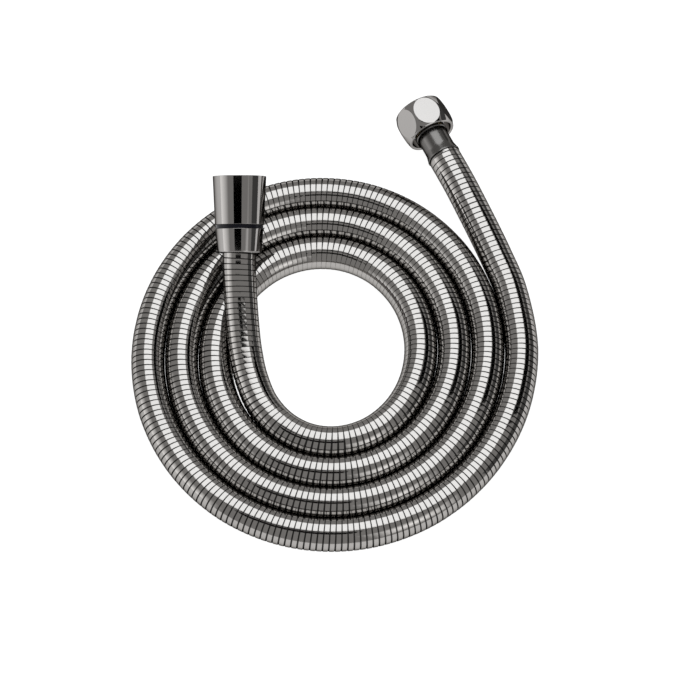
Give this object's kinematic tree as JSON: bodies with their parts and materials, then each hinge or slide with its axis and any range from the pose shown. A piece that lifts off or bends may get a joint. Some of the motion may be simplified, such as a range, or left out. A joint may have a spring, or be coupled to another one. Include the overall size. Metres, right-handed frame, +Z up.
{
  "type": "shower hose",
  "caption": "Metal shower hose in a flat coil, with a hex union nut at one end and a swivelling conical nut at the other.",
  "frame": {"origin": "on the floor, under the middle of the outline of the coiled hose with both its ends", "axes": "+Z up, +Y from the coil towards the mouths of both ends, +X to the side where the hex nut's run leaves the coil"},
  "size_m": [0.1862, 0.2296, 0.0575],
  "materials": {
    "strip_steel": "dark polished steel strip with a warm grey tint",
    "black_nickel": "polished black nickel plate",
    "brass": "turned brass",
    "spring_steel": "plain spring steel",
    "rubber": "matte black rubber",
    "black_plastic": "smooth black plastic"
  },
  "bodies": {
    "hose": {"strip_armour": "strip_steel", "liner": "rubber", "nut_ferrule": "black_nickel", "nut_nipple": "brass", "nut_washer": "rubber", "cone_collar": "black_nickel", "slide_ring": "black_plastic", "swivel_barrel": "brass", "circlip": "spring_steel"},
    "hex_nut": {"hex_nut": "black_nickel"},
    "spindle": {"swivel_spindle": "brass", "lower_o_ring": "rubber", "upper_o_ring": "rubber", "cone_washer": "rubber"},
    "cone_nut": {"cone_nut": "black_nickel"}
  },
  "joints": [
    {"name": "hex_nut_spin", "type": "hinge", "parent": "hose", "child": "hex_nut", "pos_m": [0.04225, 0.10349, 0.0112], "axis": [-0.4393, 0.8983, 0], "continuous": true},
    {"name": "swivel_spin", "type": "hinge", "parent": "hose", "child": "spindle", "pos_m": [-0.04386, 0.0342, 0.0363], "axis": [0, 0.8977, 0.4407], "continuous": true},
    {"name": "cone_nut_spin", "type": "hinge", "parent": "spindle", "child": "cone_nut", "pos_m": [-0.04386, 0.04515, 0.04168], "axis": [0, 0.8977, 0.4407], "continuous": true}
  ]
}
